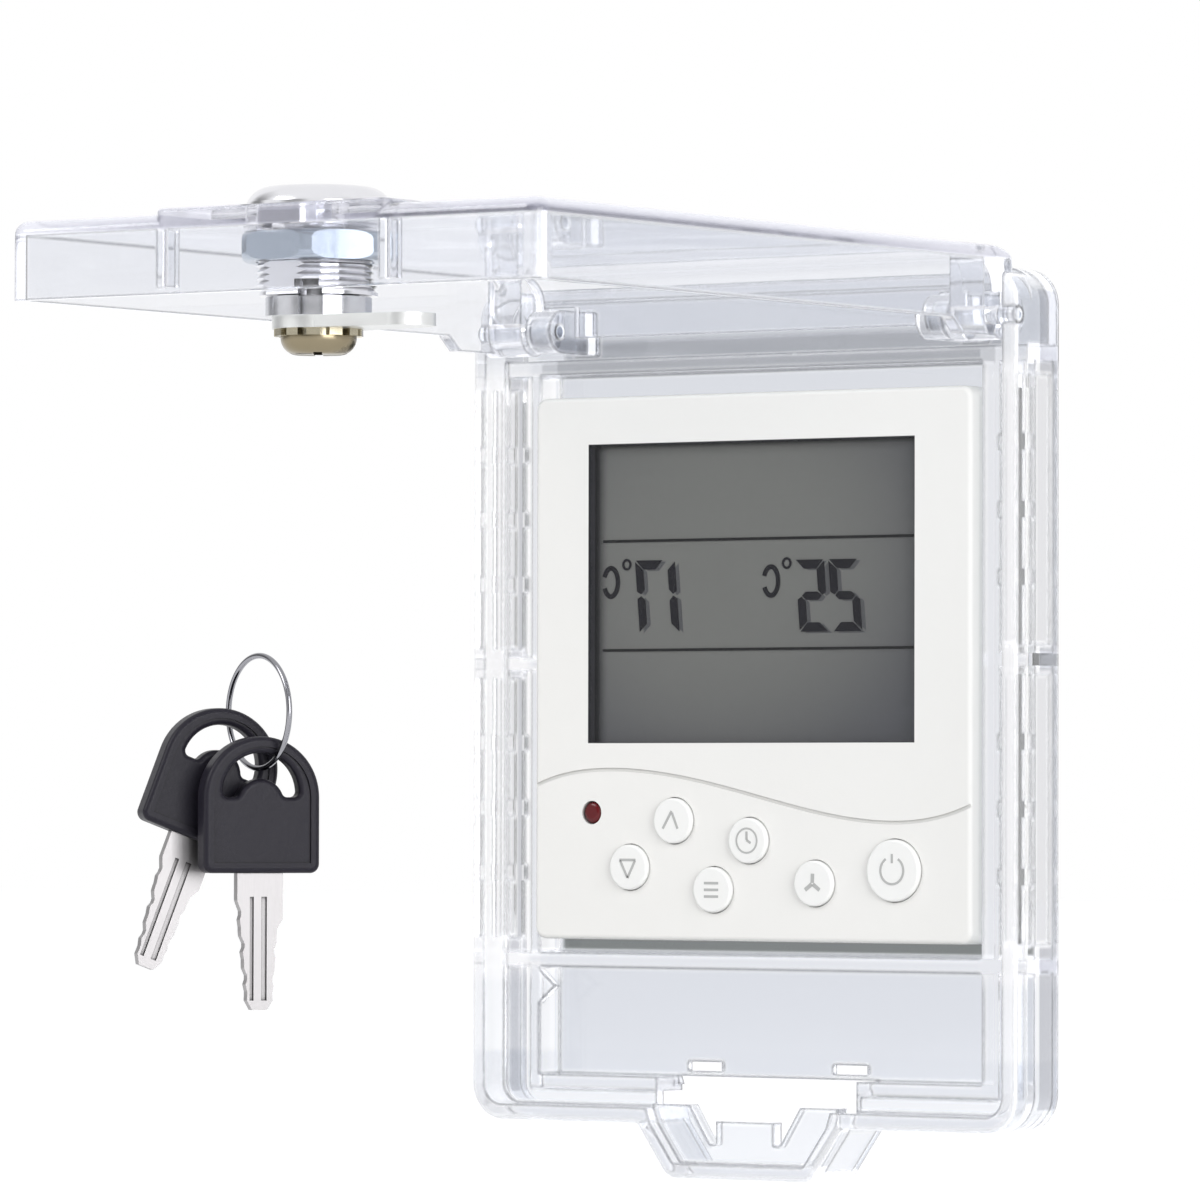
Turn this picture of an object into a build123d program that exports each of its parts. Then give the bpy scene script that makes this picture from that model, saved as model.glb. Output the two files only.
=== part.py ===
"""Clear plastic thermostat lock box with a cam lock, shown open, with the thermostat that it guards.

Frame: X to the right, Y into the wall, Z up. The origin is midway between the two fixing holes,
on the wall face, so the box stands in front of Y = 0. The sizes below are drawn about the middle
of the base, and everything moves down at the end to put the fixing holes at Z = 0. The lid is
drawn closed, where its fits are read from the base, and is then turned a quarter turn about the
hinge pins to its open rest position.
"""
import os
from math import cos, radians, sin, sqrt

from build123d import *

# ---------------------------------------------------------------- driving dimensions (mm)
# wall base
base_width = 107.0
base_height = 139.0
base_depth = 13.0
base_corner = 6.0
wall = 2.6
ledge_depth = 5.5            # ledge face below the front rim
ledge_thickness = 2.0
panel_thickness = 1.2        # back panel against the wall
rib = 2.4                    # upstand walls around the bay
bay_side_clearance = 0.7     # thermostat to bay wall, each side
bay_below = 2.3              # free height under the thermostat
bay_above = 4.0              # free height over the thermostat
bottom_ledge = 4.9           # ledge height above the bottom wall
edge_round = 0.7
# lid
cover_gap = 0.5              # lid to base wall, all round
cover_nest = 2.0             # how far the closed lid's rim sits inside the base
cover_depth = 12.3
cover_wall = 2.2
cover_round = 2.2
hinge_end_round = 7.0        # lid's corner that swings past the top wall
pad_width = 44.0             # raised middle of the free end
pad_length = 26.0
pad_raise = 0.8
# hinge
pin_radius = 1.5
pin_clearance = 0.05
hinge_setback = 1.0          # axis behind the base's front rim
hinge_below_top = 8.0        # axis below the base's top
knuckle_radius = 4.0
knuckle_length = 8.8
lug_radius = 3.6
lug_thickness = 5.0
hinge_side_gap = 0.6
ear_length = 15.0
ear_drop = 2.4
# clasp under the base
clasp_top_width = 40.4
clasp_bottom_width = 28.0
clasp_drop = 8.8
clasp_round = 3.0
keeper_setback = 2.2         # keeper plate behind the front rim
keeper_thickness = 2.6
window_top_width = 21.8
window_bottom_width = 13.8
keeper_block_width = 11.2
keeper_block_height = 3.8
cam_cut_width = 39.4
# lock
lock_from_free_end = 13.0
barrel_diameter = 18.0
barrel_flats = 16.2
barrel_length = 12.7
thread_pitch = 1.0
bezel_diameter = 22.0
bezel_height = 3.1
bezel_collar = 0.6
plug_diameter = 12.4
plug_clearance = 0.05
nut_width = 21.2
nut_thickness = 4.5
nut_seat = 0.9               # moulded seat inside the lid under the nut
nut_corner_cut = 0.5         # corners rounded back from the full hexagon
collar_diameter = 16.2
collar_thickness = 2.9
collar_notch_turn = -28.0
collar_notch = (3.8, 4.8)      # width, and distance from the axis to its floor
barrel_slot = 2.2              # the same notch runs this far up the barrel's end
tail_diameter = 8.0
tail_flats = 6.4
cam_length = 21.0
cam_hub_radius = 7.1
cam_tip_radius = 4.6
cam_thickness = 1.9
washer_diameter = 13.4
washer_thickness = 1.1
screw_head_diameter = 11.6
screw_head_height = 2.8
screw_head_round = 2.6
cross_reach = 4.3              # from the axis to the end of each arm
cross_width = 1.3
cross_depth = 1.4
cross_turn = 55.0
screw_thread_diameter = 4.0
keyway_width = 2.2
keyway_height = 8.4
wafer_count = 5
wafer_thickness = 0.8
wafer_pitch = 1.7
# thermostat
thermostat_width = 86.0
thermostat_height = 90.0
thermostat_z = 5.6           # its middle above the base's middle
thermostat_thickness = 8.5
front_wall = 1.8
shell_corner = 2.0
display_width = 64.2
display_height = 49.4
display_z = 17.9
display_overlap = 2.2        # display glass past the window, each side
lens_thickness = 1.3
lens_setback = 0.3
glass_thickness = 1.6
board_thickness = 1.6
back_plate_thickness = 1.6
button_diameter = 7.5
power_button_diameter = 10.1
button_gap = 0.15
button_proud = 0.9
button_travel = 0.5
button_flange = 0.9
led_diameter = 3.8
fixing_spacing = 60.3
fixing_hole = 4.5
cable_opening = (44.0, 40.0)
# keys
view_yaw = 57.0              # the keys face this way, turned from the wall's normal
ring_yaw = -20.0
ring_radius = 9.6
ring_wire = 0.5
ring_centre = (-97.7, -14.0, -1.5)
front_hook = (1.9, 4.8)      # wire right of the front key's middle and below its top
back_hook = (4.9, 7.7)
back_key_tilt = -21.0
key_spread = 3.4             # each key's place along the ring, from its lowest point
head_width = 20.8
head_height = 23.2
head_thickness = 4.4
head_corner = 1.6
head_rim = 1.7
head_dish = 0.4              # field sunk below the rim, each face
hole_radius = 6.9
hole_below_top = 2.8         # web over the hole
hole_round = 0.9
blade_length = 23.2
blade_width = 8.2
blade_tip_width = 4.6
blade_thickness = 1.8
blade_socket = 6.0
groove_length = 17.6

# ---------------------------------------------------------------- places worked out from them
front_y = -base_depth
ledge_y = front_y + ledge_depth
half_w = base_width / 2
half_h = base_height / 2
inner_w = half_w - wall
inner_h = half_h - wall
bay_half = thermostat_width / 2 + bay_side_clearance
thermostat_top = thermostat_z + thermostat_height / 2
thermostat_foot = thermostat_z - thermostat_height / 2
bay_top = thermostat_top + bay_above
bay_foot = thermostat_foot - bay_below
top_rib_top = bay_top + rib
low_rib_foot = bay_foot - rib
box_foot = -inner_h + bottom_ledge
panel_y = -panel_thickness

hinge_y = front_y + hinge_setback
hinge_z = half_h - hinge_below_top
cover_half_w = inner_w - cover_gap
cover_half_h = inner_h - cover_gap
rim_y = front_y + cover_nest
cover_y = rim_y - cover_depth
cover_inside_y = cover_y + cover_wall
cover_corner = base_corner - wall - cover_gap
hinge_end_reach = cover_half_h - hinge_z
knuckle_out = cover_half_w
knuckle_in = cover_half_w - knuckle_length
lug_out = knuckle_in - hinge_side_gap
lug_in = lug_out - lug_thickness
top_wall_front = hinge_y + hinge_end_reach + cover_gap

keeper_front = front_y + keeper_setback
keeper_back = keeper_front + keeper_thickness
clasp_foot = -half_h - clasp_drop

lock_z = -cover_half_h + lock_from_free_end
lock_face = cover_y - pad_raise
barrel_end = cover_y + barrel_length
nut_front = cover_inside_y + nut_seat
collar_front = barrel_end + 0.2
cam_front = collar_front + collar_thickness
washer_front = cam_front + cam_thickness
screw_front = washer_front + washer_thickness

face_y = panel_y - thermostat_thickness
shell_inside_y = face_y + front_wall
glass_front = shell_inside_y
glass_back = glass_front + glass_thickness
plate_front = panel_y - back_plate_thickness
board_back = plate_front - 0.5
board_front = board_back - board_thickness

buttons = {
    "button_up": (-14.7, -19.7, button_diameter),
    "button_down": (-23.5, -27.4, button_diameter),
    "button_clock": (0.2, -22.9, button_diameter),
    "button_mode": (-6.8, -31.0, button_diameter),
    "button_fan": (13.1, -29.8, button_diameter),
    "button_power": (28.5, -27.6, power_button_diameter),
}
led_place = (-31.4, -18.4)


# ---------------------------------------------------------------- shared ways of making a solid
def slab(x, y, z):
    """A box from its low and high ends along X, Y and Z."""
    middle = Pos((x[0] + x[1]) / 2, (y[0] + y[1]) / 2, (z[0] + z[1]) / 2)
    return middle * Box(x[1] - x[0], y[1] - y[0], z[1] - z[0])


def plate(outline, y0, y1):
    """An outline drawn in X and Z, made solid from y0 back to y1."""
    return extrude(Plane.XZ.offset(-y1) * outline, amount=y1 - y0)


def disc(x, z, radius, y0, y1):
    """A cylinder along Y."""
    return plate(Pos(x, z) * Circle(radius), y0, y1)


def rod(y, z, radius, x0, x1):
    """A cylinder along X."""
    return extrude(Plane.YZ.offset(x0) * Pos(y, z) * Circle(radius), amount=x1 - x0)


def side_plate(points, x0, x1):
    """A polygon of (Y, Z) points made solid from x0 to x1."""
    return extrude(Plane.YZ.offset(x0) * make_face(Polyline(*points, close=True)), amount=x1 - x0)


def outline_of(points):
    """A polygon of (X, Z) points."""
    return make_face(Polyline(*points, close=True))


def both_sides(shape):
    """The shape and its mirror image in the box's middle plane."""
    return shape + mirror(shape, about=Plane.YZ)


def together(pieces):
    """Separate solids kept as one node."""
    node = pieces[0]
    for piece in pieces[1:]:
        node += piece
    return node


def opened(shape):
    """The lid's parts turned from closed to open about the hinge pins."""
    return Pos(0, hinge_y, hinge_z) * Rot(-90, 0, 0) * Pos(0, -hinge_y, -hinge_z) * shape


# ---------------------------------------------------------------- wall base
def clasp_outline(inset):
    """Trapezoid of the clasp, drawn in by a wall's thickness; its top runs up into the base."""
    slope = (clasp_top_width - clasp_bottom_width) / 2 / clasp_drop
    side_inset = inset * sqrt(1 + slope**2)
    foot = clasp_foot + inset
    top = box_foot
    half_foot = clasp_bottom_width / 2 + slope * inset - side_inset
    half_top = clasp_top_width / 2 - side_inset
    if inset:
        half_lid = min(half_top + slope * (top + half_h), cam_cut_width / 2)
        return outline_of([(-half_lid, top), (half_lid, top), (half_top, -half_h),
                           (half_foot, foot), (-half_foot, foot), (-half_top, -half_h)])
    above = -half_h + wall
    return outline_of([(-half_top, above), (half_top, above), (half_top, -half_h),
                       (half_foot, foot), (-half_foot, foot), (-half_top, -half_h)])


def keeper_plate():
    """The plate across the clasp that the cam locks behind, with its window and middle block."""
    inside = plate(clasp_outline(wall - 0.2), keeper_front, keeper_back)
    foot = clasp_foot + wall + 3.0
    top = -inner_h + 0.6
    body = inside & slab((-half_w, half_w), (front_y, 0), (clasp_foot, top))
    window = outline_of([(-window_top_width / 2, top + 1), (window_top_width / 2, top + 1),
                         (window_top_width / 2, top), (window_bottom_width / 2, foot),
                         (-window_bottom_width / 2, foot), (-window_top_width / 2, top)])
    body -= plate(window, front_y, 0)
    block_half = keeper_block_width / 2
    return body + slab((-block_half, block_half), (keeper_front, keeper_back),
                       (foot - 1, foot + keeper_block_height))


def vent_slot(x, z0, z1):
    """A long vent slot through the ledge, with a small notch pair at each quarter."""
    width = 2.4
    notch = 0.55
    slot = slab((x - width / 2, x + width / 2), (ledge_y - 1, ledge_y + ledge_thickness + 1), (z0, z1))
    step = (z1 - z0) / 4
    for number in range(1, 4):
        z = z0 + number * step
        slot += slab((x - width / 2 - notch, x + width / 2 + notch),
                     (ledge_y - 1, ledge_y + ledge_thickness + 1), (z - 1.3, z + 1.3))
    return slot


def knockout_groove(z0, z1):
    """The break-out line on a side wall's outer face, with a wide spot at each quarter."""
    depth = 1.3
    line = front_y + 4.2
    width = 0.55
    groove = slab((half_w - depth, half_w + 1), (line - width / 2, line + width / 2), (z0, z1))
    step = (z1 - z0) / 4
    for number in range(1, 4):
        z = z0 + number * step
        groove += slab((half_w - depth, half_w + 1), (line - width, line + width), (z - 1.3, z + 1.3))
    shallow = 0.5
    panel = slab((half_w - shallow, half_w + 1), (line + 2.0, front_y + 10.6), (z0, z1))
    return groove + panel


def base_tray():
    """The clear tray: rounded wall, ledge, bay ribs, back panel, hinge lugs and clasp."""
    shell = plate(RectangleRounded(base_width, base_height, base_corner), front_y, 0)
    shell = fillet(shell.faces().sort_by(Axis.Y)[0].edges(), edge_round)
    pocket = RectangleRounded(2 * inner_w, 2 * inner_h, base_corner - wall)
    shell -= plate(pocket, front_y - 1, 1)
    ledge = plate(pocket, ledge_y, ledge_y + ledge_thickness)
    ledge &= slab((-half_w, half_w), (front_y, 0), (-half_h, top_rib_top))
    ledge -= slab((-bay_half, bay_half), (front_y, 0), (box_foot, bay_top))
    panel = plate(pocket, panel_y, 0)
    panel &= (slab((-bay_half - rib, bay_half + rib), (panel_y, 0), (box_foot - rib + 1, top_rib_top))
              + slab((-half_w, half_w), (panel_y, 0), (top_rib_top - rib, half_h)))
    frame = slab((-bay_half - rib, bay_half + rib), (ledge_y, 0), (box_foot - rib, bay_top + 0.1))
    frame -= slab((-bay_half, bay_half), (front_y, 1), (box_foot, bay_top + 1))
    frame += slab((-inner_w - 0.1, inner_w + 0.1), (ledge_y, 0), (bay_top, top_rib_top))
    frame += slab((-bay_half - 0.1, bay_half + 0.1), (ledge_y, 0), (low_rib_foot, bay_foot))
    tray = shell + ledge + panel + frame
    middle_z = (bay_foot + bay_top) / 2
    web_half = 1.0
    for z in (bay_foot - rib / 2, middle_z):
        tray += both_sides(slab((bay_half + rib - 0.1, inner_w + 0.1), (ledge_y, 0),
                                (z - web_half, z + web_half)))
    # vent slots and break-out lines in two stacked lengths each side
    slot_x = (bay_half + rib + inner_w) / 2
    margin = 2.4
    for z0, z1 in ((bay_foot + margin, middle_z - margin), (middle_z + margin, bay_top - margin)):
        tray -= both_sides(vent_slot(slot_x, z0, z1))
        tray -= both_sides(knockout_groove(z0, z1))
    # the top wall is set back so that the lid's hinge end can swing over it
    tray -= slab((-inner_w, inner_w), (front_y - 1, top_wall_front), (top_rib_top, half_h + 1))
    tray -= cable_and_fixing_holes()
    tray += both_sides(hinge_lug())
    tray -= both_sides(rod(hinge_y, hinge_z, pin_radius, lug_in + 1.0, half_w - 0.2))
    tray += latch_tab()
    return with_clasp(tray)


def cable_and_fixing_holes():
    """Through holes in the back panel: cable opening, two fixing holes and two foot slots."""
    cable = Pos(0, thermostat_z) * RectangleRounded(*cable_opening, 3.0)
    cut = plate(cable, panel_y - 1, 1)
    for x in (-fixing_spacing / 2, fixing_spacing / 2):
        cut += disc(x, thermostat_z, fixing_hole / 2, panel_y - 1, 1)
    cut += both_sides(slab((11.0, 17.7), (panel_y - 1, 1), (box_foot + 0.9, box_foot + 2.4)))
    return cut


def hinge_lug():
    """Inner bearing of one hinge pin, standing on the back panel."""
    stem = slab((lug_in, lug_out), (hinge_y, panel_y + 0.1), (hinge_z - lug_radius, hinge_z + lug_radius))
    return stem + rod(hinge_y, hinge_z, lug_radius, lug_in, lug_out)


def latch_tab():
    """Small pointed tab on the left wall of the lower compartment."""
    top = low_rib_foot - 0.2
    return plate(outline_of([(-bay_half - 0.1, top), (-bay_half + 3.4, top - 3.0),
                             (-bay_half - 0.1, top - 6.0)]), ledge_y, ledge_y + 1.5)


def with_clasp(tray):
    """The tray with the cam's way cut through its foot and the clasp added below."""
    outer = plate(clasp_outline(0), front_y, 0)
    corners = outer.edges().filter_by(Axis.Y).sort_by(Axis.Z)[:2]
    outer = fillet(corners, clasp_round)
    front = outer.faces().sort_by(Axis.Y)[0].edges()
    outer = fillet(front.filter_by(lambda edge: edge.center().Z < -half_h), edge_round)
    tray += outer
    tray -= plate(clasp_outline(wall - 0.2), front_y - 1, 1)
    cut_half = cam_cut_width / 2
    tray -= slab((-cut_half, cut_half), (ledge_y - 1, panel_y), (-inner_h, box_foot))
    tray -= slab((-cut_half, cut_half), (ledge_y - 1, 1), (-inner_h, box_foot - rib + 1))
    return tray + keeper_plate()


def hinge_pins():
    """Two clear pins, each through a base wall, a lid knuckle and an inner lug."""
    return both_sides(rod(hinge_y, hinge_z, pin_radius, lug_in + 1.0, half_w - 0.2))


# ---------------------------------------------------------------- lid, drawn closed
def cover_shell():
    """The clear lid: a shallow tray with a raised pad, two knuckles and slots for the lugs."""
    outline = RectangleRounded(2 * cover_half_w, 2 * cover_half_h, cover_corner)
    lid = plate(outline, cover_y, rim_y)
    lid = fillet(lid.faces().sort_by(Axis.Y)[0].edges(), cover_round) & rounded_side(0)
    inside = RectangleRounded(2 * (cover_half_w - cover_wall), 2 * (cover_half_h - cover_wall), 1.0)
    lid -= plate(inside, cover_inside_y, rim_y + 1) & rounded_side(cover_wall)
    pad_z = -cover_half_h + pad_length / 2
    pad = plate(Pos(0, pad_z) * RectangleRounded(pad_width, pad_length, 2.0),
                cover_y - pad_raise, cover_inside_y)
    pad = fillet(pad.faces().sort_by(Axis.Y)[0].edges(), 0.6)
    pad &= slab((-half_w, half_w), (lock_face, rim_y), (-cover_half_h, half_h))
    lid += pad
    lid += disc(0, lock_z, lock_from_free_end - cover_wall, cover_inside_y - 0.1, nut_front)
    # two short ribs inside the free end, in line with the pad's sides
    rib_z = -cover_half_h + cover_wall
    lid += both_sides(slab((pad_width / 2 - 1.8, pad_width / 2), (cover_inside_y - 0.1, rim_y - 1.2),
                           (rib_z - 0.1, rib_z + 3.2)))
    lid += both_sides(knuckle() + ear())
    slot_y = hinge_y - lug_radius - cover_gap
    slot_x = (lug_in - hinge_side_gap, lug_out + hinge_side_gap)
    lid -= both_sides(slab(slot_x, (slot_y, rim_y + 1), (hinge_z - lug_radius, cover_half_h + 1)))
    lid -= both_sides(rod(hinge_y, hinge_z, pin_radius + pin_clearance, knuckle_in - 1, half_w))
    hole = disc(0, lock_z, barrel_diameter / 2 + 0.05, lock_face - 1, nut_front + 1)
    flats = slab((-half_w, half_w), (lock_face - 1, nut_front + 1),
                 (lock_z - barrel_flats / 2 - 0.05, lock_z + barrel_flats / 2 + 0.05))
    return lid - (hole & flats)


def rounded_side(inset):
    """The lid's side view, with its hinge end rounded, drawn in by inset and full width."""
    front = cover_y + inset
    end = cover_half_h - inset
    radius = hinge_end_round - inset
    bend = radius * (1 - sqrt(0.5))
    corner = ThreePointArc((front, end - radius), (front + bend, end - bend), (front + radius, end))
    rest = Polyline((front + radius, end), (rim_y + 1, end), (rim_y + 1, -half_h), (front, -half_h),
                    (front, end - radius))
    side = Plane(origin=(-half_w, 0, 0), x_dir=(0, 1, 0), z_dir=(1, 0, 0))
    return extrude(side * make_face([corner, *rest.edges()]), amount=2 * half_w)


def knuckle():
    """One hinge knuckle with the block that ties it to the lid."""
    block = slab((knuckle_in, knuckle_out - 0.5), (cover_inside_y - 0.1, hinge_y),
                 (hinge_z - knuckle_radius, cover_half_h - cover_wall + 0.1))
    return block + rod(hinge_y, hinge_z, knuckle_radius, knuckle_in, knuckle_out)


def ear():
    """The side wall's extension past the rim beside the hinge."""
    foot = rim_y + ear_drop
    points = [(rim_y - 1, hinge_z - ear_length), (rim_y, hinge_z - ear_length),
              (foot, hinge_z - ear_length + 3.0), (foot, hinge_z), (rim_y - 1, hinge_z)]
    return side_plate(points, cover_half_w - cover_wall, cover_half_w)


# ---------------------------------------------------------------- cam lock, drawn in the closed lid
def lock_profile():
    """Half section of the barrel and bezel about the lock's axis: (radius, depth from the face)."""
    thread_core = barrel_diameter / 2 - 0.55
    crest = barrel_diameter / 2
    start = cover_inside_y - lock_face
    end = barrel_end - lock_face
    points = [(0, -bezel_height), (plug_diameter / 2 + 1.2, -bezel_height)]
    points += [(bezel_diameter / 2, -bezel_collar), (bezel_diameter / 2, 0), (crest, 0), (crest, start)]
    turns = int((end - start) / thread_pitch)
    for number in range(turns):
        depth = start + number * thread_pitch
        points += [(thread_core, depth + thread_pitch / 2), (crest, depth + thread_pitch)]
    return points + [(crest, end), (0, end)]


def lock_body():
    """Barrel and domed bezel in one chromed casting, with two flats and the plug's bore."""
    points = lock_profile()
    dome = ThreePointArc(points[1], (bezel_diameter / 2 - 1.3, -bezel_height + 0.75), points[2])
    rest = Polyline(*points[2:], points[0])
    section = make_face([Line(points[0], points[1]), dome, *rest.edges()])
    solid = revolve(Plane.XY * section, axis=Axis.Y)
    solid = Pos(0, lock_face, lock_z) * solid
    keep = slab((-half_w, half_w), (lock_face, 0), (lock_z - barrel_flats / 2, lock_z + barrel_flats / 2))
    keep += slab((-half_w, half_w), (lock_face - 10, lock_face), (lock_z - 20, lock_z + 20))
    solid &= keep
    solid -= disc(0, lock_z, plug_diameter / 2 + plug_clearance, lock_face - 10, 0)
    return solid - stop_notch(barrel_end - barrel_slot, barrel_end + 1)


def lock_nut():
    """Hexagon nut with rounded corners that pulls the bezel down on the lid."""
    body = plate(Pos(0, lock_z) * RegularPolygon(nut_width / 2, 6, major_radius=False),
                 nut_front, nut_front + nut_thickness)
    corner = nut_width / sqrt(3) - nut_corner_cut
    round_off = Pos(0, nut_front + nut_thickness / 2, lock_z) * Rot(90, 0, 0) * Cylinder(
        corner, nut_thickness)
    round_off = fillet(round_off.edges(), 1.4)
    bore = disc(0, lock_z, barrel_diameter / 2 + 0.02, nut_front - 1, nut_front + nut_thickness + 1)
    return (body & round_off) - bore


def tail_outline(clearance):
    """Double-D section of the plug's tail."""
    return (Pos(0, lock_z) * Circle(tail_diameter / 2 + clearance)
            & Pos(0, lock_z) * Rectangle(2 * tail_diameter, tail_flats + 2 * clearance))


def wafer_places():
    """Depths of the wafers along the plug."""
    first = lock_face + 3.0
    return [first + number * wafer_pitch for number in range(wafer_count)]


def wafer_outline(clearance):
    """Outline of one wafer inside the plug, with the key's window."""
    width = keyway_width + 2.6 + 2 * clearance
    height = plug_diameter - 1.6 + 2 * clearance
    return Pos(0, lock_z) * Rectangle(width, height)


def lock_plug():
    """The turning core: keyway, wafer slots and a double-D tail with a screw hole."""
    face = lock_face - bezel_height + 0.5
    plug = disc(0, lock_z, plug_diameter / 2, face, collar_front)
    plug += plate(tail_outline(0), collar_front - 1, washer_front - 0.1)
    plug -= plate(Pos(0, lock_z) * Rectangle(keyway_width, keyway_height), face - 1, collar_front - 2)
    for depth in wafer_places():
        plug -= plate(wafer_outline(0.05), depth, depth + wafer_thickness + 0.1)
    return plug - disc(0, lock_z, screw_thread_diameter / 2, collar_front - 1.5, 0)


def lock_wafers():
    """Five brass wafers, drawn in as the key would hold them, each with a key window."""
    wafers = []
    for number, depth in enumerate(wafer_places()):
        shift = 0.35 * ((number * 2) % 3 - 1)
        window = Pos(0, lock_z + shift) * Rectangle(keyway_width, keyway_height - 1.6)
        wafers.append(plate(wafer_outline(0) - window, depth + 0.05, depth + 0.05 + wafer_thickness))
    return together(wafers)


def stop_notch(first_y, last_y):
    """Cutter for the notch in the collar and the barrel's end."""
    width, floor = collar_notch
    cut = slab((-width / 2, width / 2), (first_y, last_y), (-barrel_diameter, -floor))
    return Pos(0, 0, lock_z) * Rot(0, collar_notch_turn, 0) * cut


def stop_collar():
    """Collar keyed to the tail, with the notch that meets the barrel's stop."""
    collar = disc(0, lock_z, collar_diameter / 2, collar_front, cam_front)
    collar -= plate(tail_outline(0.03), collar_front - 1, 0)
    return collar - stop_notch(collar_front, cam_front)


def lock_cam():
    """Flat cam with a round hub and a narrower tip, pointing to +X when unlocked."""
    tip_x = cam_length - cam_tip_radius
    body = Pos(0, lock_z) * Circle(cam_hub_radius)
    body += Pos(tip_x, lock_z) * Circle(cam_tip_radius)
    neck = cam_tip_radius
    body += outline_of([(0, lock_z + cam_hub_radius - 0.6), (tip_x, lock_z + neck),
                        (tip_x, lock_z - neck), (0, lock_z - cam_hub_radius + 0.6)])
    cam = plate(body, cam_front, washer_front)
    return cam - plate(tail_outline(0.03), cam_front - 1, 0)


def cam_washer():
    """Toothed spring washer under the cam screw."""
    body = disc(0, lock_z, washer_diameter / 2 - 1.2, washer_front, screw_front)
    teeth = 12
    for number in range(teeth):
        angle = 360.0 / teeth * number
        tooth = Pos(0, lock_z) * Rot(0, 0, angle) * Pos(washer_diameter / 2 - 1.0, 0) * Rectangle(2.0, 2.1)
        body += plate(tooth, washer_front, screw_front)
    return body - disc(0, lock_z, screw_thread_diameter / 2 + 0.2, washer_front - 1, 0)


def cam_screw():
    """Pan-head cross-recess screw in the plug's tail."""
    head = disc(0, lock_z, screw_head_diameter / 2, screw_front, screw_front + screw_head_height)
    head = fillet(head.faces().sort_by(Axis.Y)[-1].edges(), screw_head_round)
    shank = disc(0, lock_z, screw_thread_diameter / 2, collar_front - 1.0, screw_front + 1)
    end = screw_front + screw_head_height
    arm = slab((-cross_reach, cross_reach), (end - cross_depth, end + 1), (-cross_width / 2, cross_width / 2))
    cross = Rot(0, cross_turn, 0) * arm + Rot(0, cross_turn + 90, 0) * arm
    return head + shank - Pos(0, 0, lock_z) * cross


# ---------------------------------------------------------------- thermostat
def thermostat_front():
    """White front shell: open at the back, with the display window, LED and button holes."""
    outline = Pos(0, thermostat_z) * RectangleRounded(thermostat_width, thermostat_height, shell_corner)
    shell = plate(outline, face_y, panel_y)
    shell = fillet(shell.faces().sort_by(Axis.Y)[0].edges(), 0.8)
    inside = Pos(0, thermostat_z) * RectangleRounded(
        thermostat_width - 2 * front_wall, thermostat_height - 2 * front_wall, 1.0)
    shell -= plate(inside, shell_inside_y, 1)
    shell -= plate(Pos(0, display_z) * Rectangle(display_width, display_height), face_y - 1, panel_y)
    for x, z, diameter in buttons.values():
        shell -= disc(x, z, diameter / 2 + button_gap, face_y - 1, shell_inside_y + 1)
    shell -= disc(*led_place, led_diameter / 2 + 0.05, face_y - 1, shell_inside_y + 1)
    return shell - wave_groove()


def wave_groove():
    """The shallow wavy line that parts the display from the keypad."""
    reach = thermostat_width / 2 + 1
    line = Spline((-reach, -14.6), (-19.6, -11.7), (25.7, -19.8), (reach, -16.6),
                  tangents=((1, 0.55), (1, 0.45)))
    return plate(trace(line, 0.6), face_y - 1, face_y + 0.35)


def lcd_window():
    """Clear lens in the front shell's display opening."""
    width = display_width - 0.1
    height = display_height - 0.1
    lens = plate(Pos(0, display_z) * Rectangle(width, height),
                 face_y + lens_setback, face_y + lens_setback + lens_thickness)
    return lens


def lcd_panel():
    """Display glass behind the lens."""
    outline = Pos(0, display_z) * Rectangle(display_width + 2 * display_overlap,
                                            display_height + 2 * display_overlap)
    return plate(outline, glass_front, glass_back)


def lcd_contact_strips():
    """Two rubber contact strips between the display glass and the board."""
    strips = []
    for z in (display_z - display_height / 2, display_z + display_height / 2):
        strips.append(slab((-30, 30), (glass_back, board_front), (z - 0.8, z + 0.8)))
    return together(strips)


def circuit_board():
    """Circuit board behind the display and the buttons."""
    outline = Pos(0, thermostat_z) * Rectangle(thermostat_width - 2 * front_wall - 3,
                                               thermostat_height - 2 * front_wall - 3)
    board = plate(outline, board_front, board_back)
    for x in (-fixing_spacing / 2, fixing_spacing / 2):
        board -= disc(x, thermostat_z, 4.0, board_front - 1, 0)
    for x, z in stand_off_places():
        board -= disc(x, z, 1.3, board_front - 1, 0)
    return board


def stand_off_places():
    """The four places where the board is carried on the back plate."""
    x = thermostat_width / 2 - front_wall - 5
    dz = thermostat_height / 2 - front_wall - 5
    return [(sx * x, thermostat_z + sz * dz) for sx in (-1, 1) for sz in (-1, 1)]


def thermostat_back_plate():
    """Back plate on the panel, with stand-offs for the board and two fixing slots."""
    outline = Pos(0, thermostat_z) * RectangleRounded(
        thermostat_width - 2 * front_wall - 0.3, thermostat_height - 2 * front_wall - 0.3, 0.9)
    body = plate(outline, plate_front, panel_y)
    for x, z in stand_off_places():
        body += disc(x, z, 2.4, board_back, plate_front + 0.1)
        body += disc(x, z, 1.2, board_front - 0.6, plate_front + 0.1)
    for x in (-fixing_spacing / 2, fixing_spacing / 2):
        body -= disc(x, thermostat_z, fixing_hole / 2, plate_front - 1, 1)
    return body - plate(Pos(0, thermostat_z) * RectangleRounded(*cable_opening, 3.0), plate_front - 1, 1)


def tact_switches():
    """One tact switch on the board behind each button."""
    switches = []
    for x, z, _ in buttons.values():
        body = slab((x - 3, x + 3), (board_front - 0.9, board_front), (z - 3, z + 3))
        switches.append(body + disc(x, z, 1.4, board_front - 1.2, board_front - 0.8))
    return together(switches)


def status_led():
    """Red LED with a domed top in the front shell."""
    radius = led_diameter / 2
    stem = disc(*led_place, radius, face_y, board_front)
    return fillet(stem.faces().sort_by(Axis.Y)[0].edges(), 0.9)


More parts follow.
